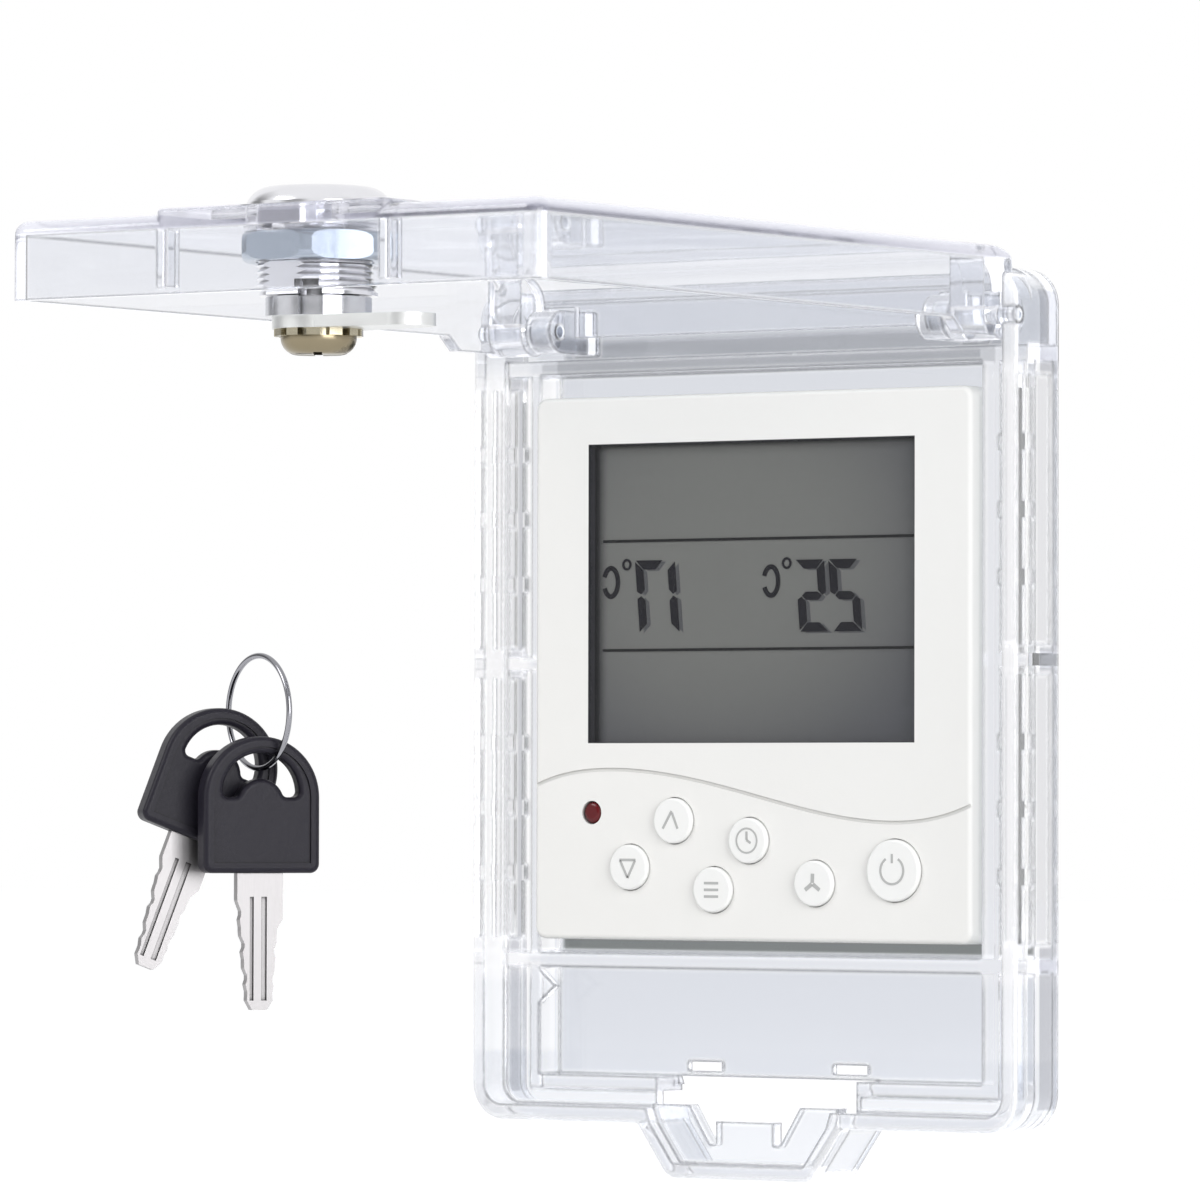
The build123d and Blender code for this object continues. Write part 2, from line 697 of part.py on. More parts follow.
def button(x, z, diameter):
    """Button cap with its flange behind the front shell and a plunger to the switch."""
    cap = disc(x, z, diameter / 2, face_y - button_proud, shell_inside_y + 0.2)
    cap = fillet(cap.faces().sort_by(Axis.Y)[0].edges(), 0.4)
    flange_front = shell_inside_y + 0.02
    flange = disc(x, z, diameter / 2 + 0.8, flange_front, flange_front + button_flange)
    plunger_end = board_front - 1.2 - button_travel - 0.1
    return cap + flange + disc(x, z, 1.3, flange_front, plunger_end)


# ---------------------------------------------------------------- keys on their ring
def along_ring(distance):
    """Point of the ring's wire at a horizontal distance from its lowest point."""
    yaw = radians(ring_yaw)
    drop = sqrt(ring_radius**2 - distance**2)
    return (ring_centre[0] + distance * cos(yaw), ring_centre[1] + distance * sin(yaw),
            ring_centre[2] - drop)


def key_place(hook, hook_at, tilt):
    """Frame of a key: its point hook_at lies on the wire at hook, and it faces view_yaw."""
    yaw = radians(view_yaw)
    facing = Plane(origin=hook, x_dir=(cos(yaw), sin(yaw), 0), z_dir=(sin(yaw), -cos(yaw), 0))
    return Location(facing) * Rot(0, 0, tilt) * Pos(-hook_at[0], -hook_at[1], 0)


def hole_centre():
    """Height of the arched hole's centre above the head's foot."""
    return head_height - hole_below_top - hole_radius


def key_hole():
    """Arched hole of the key head with a bump in its lower edge."""
    centre = hole_centre()
    foot = centre - 0.6
    above = Pos(0, foot + hole_radius) * Rectangle(3 * hole_radius, 2 * hole_radius)
    hole = (Pos(0, centre) * Circle(hole_radius) & above) - Pos(0, centre - 1.7) * Circle(4.2)
    lobes = hole.vertices().filter_by(lambda corner: corner.Y < foot + 0.01)
    return fillet(lobes, 1.0)


def key_head():
    """Arched moulded head: a thin web with a raised rim, hollow where the blade is moulded in."""
    radius = head_width / 2
    centre = head_height - radius
    outline = Pos(0, centre) * Circle(radius) + Pos(0, centre / 2) * Rectangle(head_width, centre)
    outline = fillet(outline.vertices().filter_by(lambda corner: corner.Y < 0.01), head_corner)
    body = extrude(outline, amount=head_thickness / 2, both=True)
    body = fillet(body.edges().group_by(Axis.Z)[0] + body.edges().group_by(Axis.Z)[-1], 0.9)
    inner = Pos(0, centre) * Circle(radius - head_rim) + Pos(0, (centre + head_rim) / 2) * Rectangle(
        head_width - 2 * head_rim, centre - head_rim)
    dish = extrude(inner, amount=1.0)
    web_half = head_thickness / 2 - head_dish
    body -= Pos(0, 0, web_half) * dish
    body -= Pos(0, 0, -web_half - 1.0) * dish
    body -= extrude(key_hole(), amount=head_thickness, both=True)
    hole_edges = [edge for edge in body.edges()
                  if abs(abs(edge.center().Z) - web_half) < 0.01
                  and (edge.center() - Vector(0, hole_centre(), edge.center().Z)).length < hole_radius + 0.2]
    body = fillet(hole_edges, hole_round)
    socket = Pos(0, blade_socket / 2) * Box(blade_width, blade_socket, blade_thickness)
    return body - socket


def key_blade():
    """Nickel-plated blade: one straight shoulder, one stepped, cuts on both edges, two grooves."""
    half = blade_width / 2
    half_tip = blade_tip_width / 2
    foot = -blade_length + 1.6
    right = cut_edge(half - 1.0, -9.4, half_tip, foot, (0.15, 0.4, 0.1, 0.35, 0.2))
    left = cut_edge(half - 0.2, -5.2, half_tip, foot, (0.5, 0.2, 0.6, 0.25, 0.55, 0.3))
    right = [(half, blade_socket), (half, -7.8), *right, (half_tip - 1.0, -blade_length)]
    left = [(half, blade_socket), (half, -4.6), *left, (half_tip - 0.9, -blade_length)]
    outline = Polyline(*right, *[(-x, y) for x, y in reversed(left)], close=True)
    blade = extrude(make_face(outline), amount=blade_thickness / 2, both=True)
    for x, width in ((-1.5, 0.7), (0.7, 1.0)):
        groove = Pos(x, -4.0 - groove_length / 2, blade_thickness / 2) * Box(width, groove_length, 0.8)
        blade -= groove
        blade -= Pos(-2 * x, 0, -blade_thickness) * groove
    return blade


def cut_edge(start_x, start_y, end_x, end_y, depths):
    """Points down one edge of a blade that tapers, with a cut of each depth."""
    points = []
    for number, depth in enumerate(depths):
        share = number / len(depths)
        step = 1 / len(depths)
        x = start_x + (end_x - start_x) * share
        y = start_y + (end_y - start_y) * share
        points += [(x, y), (x - depth, y + (end_y - start_y) * step * 0.45)]
        points += [(x - depth, y + (end_y - start_y) * step * 0.7)]
    return points + [(end_x, end_y)]


def key_ring():
    """Round wire ring, hanging on edge."""
    turn = Pos(*ring_centre) * Rot(0, 0, ring_yaw) * Rot(90, 0, 0)
    return turn * Torus(ring_radius, ring_wire)


front_key = key_place(along_ring(key_spread), (front_hook[0], head_height - front_hook[1]), 0.0)
back_key = key_place(along_ring(-key_spread), (back_hook[0], head_height - back_hook[1]), back_key_tilt)

# ---------------------------------------------------------------- the nodes
parts = {
    "base_tray": base_tray(),
    "hinge_pins": hinge_pins(),
    "cover_shell": opened(cover_shell()),
    "lock_body": opened(lock_body()),
    "lock_nut": opened(lock_nut()),
    "lock_plug": opened(lock_plug()),
    "lock_wafers": opened(lock_wafers()),
    "stop_collar": opened(stop_collar()),
    "lock_cam": opened(lock_cam()),
    "cam_washer": opened(cam_washer()),
    "cam_screw": opened(cam_screw()),
    "thermostat_front": thermostat_front(),
    "thermostat_back_plate": thermostat_back_plate(),
    "lcd_window": lcd_window(),
    "lcd_panel": lcd_panel(),
    "lcd_contact_strips": lcd_contact_strips(),
    "circuit_board": circuit_board(),
    "tact_switches": tact_switches(),
    "status_led": status_led(),
    "key_ring": key_ring(),
    "front_key_head": front_key * key_head(),
    "front_key_blade": front_key * key_blade(),
    "back_key_head": back_key * key_head(),
    "back_key_blade": back_key * key_blade(),
}
for name, (x, z, diameter) in buttons.items():
    parts[name] = button(x, z, diameter)

os.makedirs("parts", exist_ok=True)
to_origin = Pos(0, 0, -thermostat_z)
for name, shape in parts.items():
    export_step(to_origin * shape, f"parts/{name}.step")
    solids = shape.solids()
    print(name, len(solids), round(sum(solid.volume for solid in solids), 1))
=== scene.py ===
"""The looks of a clear thermostat lock box, in metres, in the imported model's own frame.

X runs to the right, Y into the wall and Z up. Sizes that a maker would give in millimetres are
written in millimetres times MM.
"""

from math import cos, pi, radians, sin

import bmesh
import bpy
import numpy as np
from mathutils import Matrix, Vector


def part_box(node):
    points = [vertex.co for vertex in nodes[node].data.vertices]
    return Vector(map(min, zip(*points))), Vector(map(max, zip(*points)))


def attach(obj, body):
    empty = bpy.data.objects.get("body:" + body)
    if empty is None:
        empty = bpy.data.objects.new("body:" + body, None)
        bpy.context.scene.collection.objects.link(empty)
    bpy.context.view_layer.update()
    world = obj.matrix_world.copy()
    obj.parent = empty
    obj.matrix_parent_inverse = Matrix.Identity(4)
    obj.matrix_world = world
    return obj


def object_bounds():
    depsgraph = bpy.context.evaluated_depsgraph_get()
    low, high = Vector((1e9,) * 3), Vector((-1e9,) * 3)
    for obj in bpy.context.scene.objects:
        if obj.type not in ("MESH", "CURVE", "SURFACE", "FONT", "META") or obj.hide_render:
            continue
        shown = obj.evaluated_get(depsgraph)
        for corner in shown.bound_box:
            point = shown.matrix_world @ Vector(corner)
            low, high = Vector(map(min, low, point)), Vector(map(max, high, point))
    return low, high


MM = 0.001
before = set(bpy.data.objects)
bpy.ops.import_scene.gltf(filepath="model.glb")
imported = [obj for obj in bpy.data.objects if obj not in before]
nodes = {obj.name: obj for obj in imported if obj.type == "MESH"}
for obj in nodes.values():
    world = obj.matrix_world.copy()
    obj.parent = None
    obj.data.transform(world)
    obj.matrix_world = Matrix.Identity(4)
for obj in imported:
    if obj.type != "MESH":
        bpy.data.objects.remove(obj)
cad_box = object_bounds()

# ------------------------------------------------------------------ camera
# A long lens a little below the box and to its right, which sees the lid's underside.
# The picture's centre is the target, and the frame is 1200 by 1197.
camera_azimuth = radians(35.0154)
camera_pitch = radians(1.4068)
camera_roll = radians(0.1286)
camera_target = Vector((-36.613, 0.0, 11.798)) * MM
camera_distance = 1339.3 * MM
lens_length = 240.0

forward = Vector((-sin(camera_azimuth) * cos(camera_pitch),
                  cos(camera_azimuth) * cos(camera_pitch), sin(camera_pitch)))
level_right = Vector((cos(camera_azimuth), sin(camera_azimuth), 0.0))
level_up = level_right.cross(forward)
right = level_right * cos(camera_roll) + level_up * sin(camera_roll)
up = level_up * cos(camera_roll) - level_right * sin(camera_roll)
camera_data = bpy.data.cameras.new("camera")
camera_data.sensor_width = 36.0
camera_data.lens = lens_length
camera_data.clip_start = 0.05
camera_data.clip_end = 50.0
camera = bpy.data.objects.new("camera", camera_data)
camera.matrix_world = Matrix.Translation(camera_target - forward * camera_distance) @ Matrix(
    (right, up, -forward)).transposed().to_4x4()
bpy.context.scene.collection.objects.link(camera)
bpy.context.scene.camera = camera
bpy.context.scene.view_settings.view_transform = "Standard"


# ------------------------------------------------------------------ studio
# A pale floor below the box and a white room. The lens sees plain white all round. Metal and clear
# plastic see the same white behind the box, and a few grey bands of the room on the other side.
class Field:
    """One shader value. Its arithmetic adds Math nodes, and node() adds any other kind."""

    def __init__(self, tree, socket=None):
        self.tree = tree
        self.socket = socket

    def node(self, kind, sockets=(), output=0, stops=(), **settings):
        """Add a node: its settings and a ramp's stops first, then its sockets' values or links."""
        made = self.tree.nodes.new("ShaderNode" + kind)
        for setting, value in settings.items():
            setattr(made, setting, value)
        for number, (position, level) in enumerate(stops):
            ramp = made.color_ramp.elements
            stop = ramp[number] if number < 2 else ramp.new(position)
            stop.position = position
            stop.color = (level, level, level, 1.0)
        for name, value in dict(sockets).items():
            if isinstance(value, Field):
                self.tree.links.new(value.socket, made.inputs[name])
            else:
                made.inputs[name].default_value = value
        return Field(self.tree, made.outputs[output] if made.outputs else None)

    def maths(self, operation, *terms):
        """A Math node on any mix of values and plain numbers."""
        return self.node("Math", enumerate(terms), operation=operation)

    def __add__(self, other):
        return self.maths("ADD", self, other)

    def __sub__(self, other):
        return self.maths("SUBTRACT", self, other)

    def __rsub__(self, other):
        return self.maths("SUBTRACT", other, self)

    def __mul__(self, other):
        return self.maths("MULTIPLY", self, other)

    def __truediv__(self, other):
        return self.maths("DIVIDE", self, other)

    def __pow__(self, other):
        return self.maths("POWER", self, other)

    def __abs__(self):
        return self.maths("ABSOLUTE", self)

    def most(self, other):
        """The larger of the two."""
        return self.maths("MAXIMUM", self, other)

    def least(self, other):
        """The smaller of the two."""
        return self.maths("MINIMUM", self, other)

    def step(self, low, high):
        """0 below low and 1 above high, with a smooth step between."""
        return self.node("MapRange", {"Value": self, "From Min": low, "From Max": high},
                         interpolation_type="SMOOTHSTEP")

    def between(self, first, second):
        """A colour that runs from first to second as this value goes from 0 to 1."""
        return self.node("Mix", {0: self, 6: first, 7: second}, output=2, data_type="RGBA")

    def part(self, axis):
        """The X, Y or Z of a vector."""
        return self.node("SeparateXYZ", {0: self}, output="XYZ".index(axis))

    __radd__ = __add__
    __rmul__ = __mul__


def rgb(red, green, blue):
    """A colour given as a paint chart gives it, 0 to 255, as the shader's linear values."""
    levels = np.array((red, green, blue)) / 255
    low = levels / 12.92
    high = ((levels + 0.055) / 1.055) ** 2.4
    return (*np.where(levels <= 0.04045, low, high).tolist(), 1.0)


def empty_tree(owner):
    """Turn nodes on, clear them, and return a Field to build with."""
    owner.use_nodes = True
    tree = owner.node_tree
    tree.nodes.clear()
    return Field(tree)


def seen_ray(start):
    """1 for what the lens, a mirror or clear plastic sees, and 0 for light on the box."""
    path = [start.node("LightPath", output=name)
            for name in ("Is Camera Ray", "Is Glossy Ray", "Is Transmission Ray")]
    return path[0].most(path[1]).most(path[2])


def make_floor(below, reach, glow):
    """A wide pale floor, below the box by that much and as far out as reach, with a glow that
    makes it white to the eye and keeps the box's shadow."""
    depth = cad_box[0][2] - below
    corners = [(-reach, -reach, depth), (reach, -reach, depth), (reach, reach, depth),
               (-reach, reach, depth)]
    mesh = bpy.data.meshes.new("floor")
    mesh.from_pydata(corners, [], [(0, 1, 2, 3)])
    floor = bpy.data.objects.new("floor", mesh)
    bpy.context.scene.collection.objects.link(floor)
    paint = bpy.data.materials.new("floor_paint")
    start = empty_tree(paint)
    lit = start.node("BsdfDiffuse", {"Color": (0.8, 0.8, 0.8, 1.0)})
    light = start.node("Emission", {"Color": (1, 1, 1, 1), "Strength": seen_ray(start) * glow})
    start.node("OutputMaterial", {"Surface": start.node("AddShader", {0: lit, 1: light})})
    mesh.materials.append(paint)


def make_room(light_level, bands):
    """Even soft light, white to the lens, with grey bands for mirrors on the viewer's side. bands
    are a ramp's stops: grey level against the way's bearing about Z, as a share of a turn."""
    room = bpy.data.worlds.new("room")
    bpy.context.scene.world = room
    start = empty_tree(room)
    soft = start.node("Background", {"Color": (0.97, 0.98, 1.0, 1.0), "Strength": light_level})
    white = start.node("Background", {"Color": (1, 1, 1, 1), "Strength": 1.0})
    way = start.node("TexCoord", output="Generated")
    bearing = start.maths("ARCTAN2", way.part("X"), way.part("Y") * -1.0) / (2 * pi) + 0.5
    band = start.node("ValToRGB", {"Fac": bearing}, stops=bands)
    steep = start.node("MapRange", {"Value": abs(way.part("Z")), "From Min": 0.45,
                                    "From Max": 0.8})
    shade = steep.between(band, (1, 1, 1, 1))
    mirrored = start.node("Background", {"Color": shade, "Strength": 1.0})
    camera_ray = start.node("LightPath", output="Is Camera Ray")
    seen = start.node("MixShader", {0: camera_ray, 1: mirrored, 2: white})
    start.node("OutputWorld",
               {"Surface": start.node("MixShader", {0: seen_ray(start), 1: soft, 2: seen})})


def make_lamp(name, place, size, watts):
    """A square soft lamp at place, turned to the box."""
    data = bpy.data.lights.new(name, "AREA")
    data.shape = "SQUARE"
    data.size = size
    data.energy = watts
    lamp = bpy.data.objects.new(name, data)
    lamp.location = place
    lamp.rotation_euler = (-Vector(place)).to_track_quat("-Z", "Y").to_euler()
    bpy.context.scene.collection.objects.link(lamp)


# bearings 0 and 1 are behind the box, and 0.5 is straight out from the wall
room_bands = ((0.0, 1.0), (0.2, 1.0), (0.25, 0.3), (0.3, 0.3), (0.34, 1.0), (0.42, 0.95),
              (0.46, 0.4), (0.52, 0.4), (0.56, 0.95), (0.66, 1.0), (0.7, 0.3), (0.75, 0.3),
              (0.8, 1.0), (1.0, 1.0))
make_floor(below=46 * MM, reach=6.0, glow=0.62)
make_room(light_level=0.49, bands=room_bands)
make_lamp("key_lamp", place=(-0.9, -1.5, 1.2), size=0.9, watts=15.0)
make_lamp("fill_lamp", place=(1.4, -0.7, 0.3), size=1.0, watts=17.0)


# ------------------------------------------------------------------ tray and lid
# Two injection mouldings in clear polycarbonate with polished faces, and two clear hinge pins. The
# faces are nearly white and the back panel faintly blue. Each corner carries a painted grey shade
# outline with a painted white highlight beside it, and the highlight glows a little.
def principled(start, colour, roughness, **sockets):
    """A Principled shader; other sockets are given with underscores for spaces."""
    named = {name.replace("_", " "): value for name, value in sockets.items()}
    return start.node("BsdfPrincipled", {"Base Color": colour, "Roughness": roughness, **named})


def spot(start):
    """The place on the piece, in metres."""
    return start.node("TexCoord", output="Object")


def noise(start, scale, detail=2.0, roughness=0.5, place=None):
    """Even noise, 0 to 1, with features about 1/scale metres across."""
    return start.node("TexNoise", {"Vector": place or spot(start), "Scale": scale,
                                   "Detail": detail, "Roughness": roughness})


def bump(start, height, depth, **sockets):
    """A normal from a height, where height 0 to 1 stands for depth in metres."""
    return start.node("Bump", {"Height": height, "Strength": 1.0, "Distance": depth, **sockets})


def paint(names, finish):
    """Give carried-over parts their finish, in place of the plain one they came with."""
    for name in names:
        for slot in nodes[name].material_slots:
            slot.material = finish


def clear_plastic(name, tints, corner_radius, caught_glow, density):
    """Clear plastic that takes up a little light along the way, as its density gives. Lamps shine
    through it. Where a path has been mirrored often or has run long inside, a painted glow at the
    strength caught_glow stands in for the light that would come out.

    tints gives three colours: a face's, a painted highlight's on the line beside a corner, which
    also glows a little, and a painted shade outline's on the corner itself. turned tells them
    apart: it is one minus the cosine between the flat face and the same face with its corners
    rounded to corner_radius."""
    highlight_glow, sag = 0.1, 0.03 * MM
    made = bpy.data.materials.new(name)
    start = empty_tree(made)
    rounded = start.node("Bevel", {"Radius": corner_radius}, samples=6)
    flat = start.node("NewGeometry", output="Normal")
    turned = 1.0 - start.node("VectorMath", {0: rounded, 1: flat}, output="Value",
                              operation="DOT_PRODUCT")
    face, highlight_tint, outline = tints(start)
    # painted highlight on the line beside each corner, and painted shade outline on the corner
    painted_highlight = turned.step(0.001, 0.01)
    corner = turned.step(0.035, 0.1)
    tint = corner.between(painted_highlight.between(face, highlight_tint), outline)
    flow = noise(start, 40.0)
    # painted glow where a path is caught inside, and a fainter painted glow on the highlight
    mirrored_often = start.node("LightPath", output="Glossy Depth").step(3.4, 3.6)
    long_inside = start.node("LightPath", output="Ray Depth").step(10.4, 10.6)
    caught = mirrored_often.most(long_inside)
    glow = caught.most(painted_highlight * (1.0 - corner) * highlight_glow)
    surface = principled(start, caught.between(tint, (0, 0, 0, 1)), 0.02, IOR=1.5,
                         Transmission_Weight=1.0, Normal=bump(start, flow, sag, Normal=rounded),
                         Emission_Color=glow.between((0, 0, 0, 1), rgb(246, 247, 249)),
                         Emission_Strength=caught_glow)
    open_way = start.node("BsdfTransparent", {"Color": (0.94, 0.95, 0.96, 1.0)})
    for ray in ("Is Diffuse Ray", "Is Shadow Ray"):
        let_through = start.node("LightPath", output=ray)
        surface = start.node("MixShader", {0: let_through, 1: surface, 2: open_way})
    inside = start.node("VolumeAbsorption", {"Color": rgb(232, 232, 235), "Density": density})
    start.node("OutputMaterial", {"Surface": surface, "Volume": inside})
    return made


def within(value, rise, fall):
    """1 from a soft step up to a soft step down, each given by its two ends in millimetres."""
    return value.step(rise[0] * MM, rise[1] * MM) * (1.0 - value.step(fall[0] * MM, fall[1] * MM))


def lid_tints(start):
    """The lid's faces are faintly grey and blue, with a slow drift in tone, and painted shade makes
    its rounded outer edge greyer. Its corner outline is painted shade too."""
    # painted shade on the rounded outer edge
    painted_edge_shade = rgb(186, 186, 193)
    place = spot(start)
    side = abs(place.part("X")).step(48.0 * MM, 48.4 * MM)
    end = (place.part("Y") * -1.0).step(137.5 * MM, 137.9 * MM)
    rounded = side.most(end) * place.part("Z").step(64.9 * MM, 65.3 * MM)
    face = noise(start, 25.0).between(rgb(248, 249, 251), rgb(243, 244, 248))
    return (rounded.between(face, painted_edge_shade), rounded.between((1, 1, 1, 1), painted_edge_shade),
            rgb(118, 120, 126))


def tray_tints(start):
    """The tray's faces are blue-grey in its back panel and clasp. Painted light makes them whiter
    down its two side channels, a streaked painted reflection greys the wall over the thermostat,
    painted shade greys the back of its outer sides, and a painted shadow makes the gap under the
    thermostat darkest. Its painted shade outlines on the corners are lighter beside the channels."""
    place = spot(start)
    side = abs(place.part("X"))
    height = place.part("Z")
    ends = (1.0 - height.step(-64.5 * MM, -63.0 * MM)).most(height.step(48.0 * MM, 52.0 * MM))
    tint = ends.between(rgb(246, 247, 249), rgb(233, 235, 239))
    # painted light: the two side channels are whitened
    painted_light_channel = side.step(43.0 * MM, 43.6 * MM) * within(height, (-53.0, -50.0), (46.0, 50.0))
    tint = painted_light_channel.between(tint, rgb(252, 252, 253))
    # painted shade: the back of the outer sides is greyed
    shaded_rear_side = side.step(52.9 * MM, 53.1 * MM) * place.part("Y").step(-6.0 * MM, -5.5 * MM)
    tint = shaded_rear_side.between(tint, rgb(158, 160, 168))
    # painted shade outline on the corners, lighter beside the channels
    outline = painted_light_channel.between(rgb(104, 106, 111), rgb(182, 183, 186))
    panel = place.part("Y").step(-1.5 * MM, -1.1 * MM) * (1.0 - side.step(48.0 * MM, 50.0 * MM))
    tint = panel.between(tint, rgb(216, 219, 226))
    inner = 1.0 - side.step(43.0 * MM, 43.6 * MM)
    # painted reflection: a streaked grey on the wall over the thermostat
    lengthways = start.node("Mapping", {"Vector": place, "Scale": (0.05, 1.0, 1.0)})
    reflection_streaks = noise(start, 500.0, place=lengthways) * 0.5 + 0.5
    reflection_over = inner * within(height, (48.5, 49.0), (54.0, 56.0))
    tint = (reflection_over * reflection_streaks).between(tint, rgb(150, 153, 160))
    # painted shadow in the gap under the thermostat
    shadow_under = inner * within(height, (-47.6, -46.6), (-45.2, -44.8))
    return shadow_under.between(tint, rgb(120, 124, 124)), (1, 1, 1, 1), outline


paint(("cover_shell",), clear_plastic("lid_plastic", lid_tints, corner_radius=0.8 * MM,
                                      caught_glow=0.85, density=36.0))
paint(("base_tray", "hinge_pins"), clear_plastic("tray_plastic", tray_tints,
                                                 corner_radius=1.1 * MM, caught_glow=0.9,
                                                 density=30.0))


# ------------------------------------------------------------------ cam lock
# A chromed zinc casting with a turning plug, held by a blue-zinc hexagon nut. On the plug's tail
# are a stop collar, a flat steel cam, a toothed washer and a pale brass screw.
def dimmed(colour, share):
    """The same colour at a share of its level."""
    return [level * share for level in colour[:3]] + [1.0]


def metal(name, colour, roughness, grain=0.08, streak=(1.0, 1.0, 1.0), scale=700.0,
          recess=0.8 * MM, depth_of_shade=0.8, own_shape=True):
    """Plated metal with faint streaks: noise stretched by streak varies the gloss, and the tone by
    grain. Painted shade lowers the tone by depth_of_shade where the surface closes in within a
    recess's width, on itself when own_shape is true, and otherwise on its neighbours too."""
    gloss_change, rub_height = 0.15, 0.004 * MM
    made = bpy.data.materials.new(name)
    start = empty_tree(made)
    place = start.node("Mapping", {"Vector": spot(start), "Scale": streak})
    rub = noise(start, scale, 3.0, 0.6, place)
    # painted shade in recesses, from ambient occlusion
    open_face = start.node("AmbientOcclusion", {"Distance": recess}, output="AO", samples=8,
                           only_local=own_shape)
    plated = rub.between(dimmed(colour, 1 - grain), colour)
    tone = open_face.step(0.35, 0.95).between(dimmed(colour, 1 - depth_of_shade), plated)
    shader = principled(start, tone, rub * gloss_change + (roughness - gloss_change / 2),
                        Metallic=1.0, Normal=bump(start, rub, rub_height))
    start.node("OutputMaterial", {"Surface": shader})
    return made


# Each metal here gets painted shade in its recesses; the plug's reaches 4 mm and counts the parts
# round it.
paint(("lock_body",), metal("lock_chrome", rgb(236, 236, 240), 0.14, scale=300.0,
                            depth_of_shade=0.5))
paint(("lock_plug",), metal("plug_chrome", rgb(226, 226, 230), 0.14, scale=300.0, recess=4.0 * MM,
                            depth_of_shade=0.93, own_shape=False))
paint(("lock_nut",), metal("nut_blue_zinc", rgb(174, 183, 194), 0.24))
paint(("lock_wafers",), metal("wafer_brass", rgb(214, 182, 112), 0.32))
paint(("stop_collar",), metal("collar_zinc", rgb(206, 207, 212), 0.2, recess=3.0 * MM,
                              depth_of_shade=0.9))
paint(("lock_cam",), metal("cam_zinc", rgb(226, 227, 226), 0.34, streak=(0.2, 1.0, 1.0)))
paint(("cam_washer",), metal("washer_nickel", rgb(176, 169, 149), 0.22, recess=1.0 * MM))
paint(("cam_screw",), metal("screw_brass", rgb(138, 128, 106), 0.22, recess=1.5 * MM,
                            depth_of_shade=0.9))


# ------------------------------------------------------------------ thermostat mouldings
# A front shell and a back plate in off-white moulded plastic with a fine spark-eroded grain. The
# window's walls and the shell's grooves are darkened with painted shade. Inside are a green
# board, black switches and rubber strips.
def moulded(name, colour, roughness, grain, scale=2600.0, second=None, groove_shade=0.0,
            **sockets):
    """Moulded plastic: a fine grain in the gloss and, to the depth grain, in the surface, and a
    slow drift in tone. groove_shade is how far painted shade takes the tone to dark in narrow
    grooves. second holds a function that gives a mask, and the colour that the plastic has there."""
    gloss_change, groove_width = 0.14, 0.9 * MM
    made = bpy.data.materials.new(name)
    start = empty_tree(made)
    fine = noise(start, scale, 2.0, 0.6)
    tone = noise(start, 30.0).between(dimmed(colour, 0.97), colour)
    # painted shade in narrow grooves, from ambient occlusion
    if groove_shade:
        open_face = start.node("AmbientOcclusion", {"Distance": groove_width}, output="AO",
                               samples=8)
        closed_in = 1.0 - open_face.step(0.3, 0.9)
        tone = (closed_in * groove_shade).between(tone, dimmed(colour, 0.07))
    if second:
        mask, second_colour = second
        tone = mask(start).between(tone, second_colour)
    shader = principled(start, tone, fine * gloss_change + (roughness - gloss_change / 2),
                        Normal=bump(start, fine, grain), **sockets)
    start.node("OutputMaterial", {"Surface": shader})
    return made


def painted_window_shade(start):
    """1 on the window's own walls, which get painted shade, and 0 on the rest of the shell."""
    place = spot(start)
    inside = 1.0
    for axis, half in zip("XZ", (32.1 * MM, 24.7 * MM)):
        away = abs(place.part(axis) - window_middle["XYZ".index(axis)])
        inside = inside * (1.0 - away.step(half + 0.05 * MM, half + 0.15 * MM))
    return inside


window_low, window_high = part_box("lcd_window")
window_middle = (window_low + window_high) / 2
# The shell's window walls and its grooves are darkened with painted shade.
paint(("thermostat_front",), moulded("shell_plastic", rgb(238, 237, 234), 0.5, 0.012 * MM,
                                     second=(painted_window_shade, rgb(48, 48, 52)), groove_shade=0.3))
paint(("thermostat_back_plate",), moulded("plate_plastic", rgb(236, 235, 232), 0.55, 0.012 * MM))
paint(("circuit_board",), moulded("board_green", rgb(38, 110, 68), 0.4, 0.01 * MM, 900.0))
paint(("tact_switches",), moulded("switch_black", rgb(32, 32, 35), 0.45, 0.006 * MM))
paint(("lcd_contact_strips",), moulded("contact_rubber", rgb(150, 150, 156), 0.7, 0.01 * MM,
                                       1500.0))


# ------------------------------------------------------------------ display
# A smoked clear lens over a reflective liquid-crystal glass, darker to its edges. Behind the lens
# the figures are thin dark segments, in a mirror's order: a degree unit and two figures, twice.
def display_glass():
    """Grey display glass, lightest left of the middle, with a band of painted shadow at its left
    and top. across and along run from -1 to 1 over the window."""
    made = bpy.data.materials.new("display_grey")
    start = empty_tree(made)
    place = spot(start)
    across = (place.part("X") - window_middle.x) * (2 / (window_high.x - window_low.x))
    along = (place.part("Z") - window_middle.z) * (2 / (window_high.z - window_low.z))
    away = (across + 0.2) ** 2.0 * 0.42 + (along - 0.3) ** 2.0 * 0.34
    shade = away.step(0.0, 1.05).between(rgb(118, 118, 114), rgb(84, 84, 88))
    # painted shadow: a dark band along the window's left and top
    shadow_band = ((across + 1.0) / 0.09).least(1.0) * ((1.0 - along) / 0.04).least(1.0)
    shade = shadow_band.step(0.0, 1.0).between(rgb(38, 38, 41), shade)
    grain = noise(start, 5000.0, 1.0)
    shader = principled(start, shade, grain * 0.06 + 0.45, Specular_IOR_Level=0.0)
    start.node("OutputMaterial", {"Surface": shader})
    return made


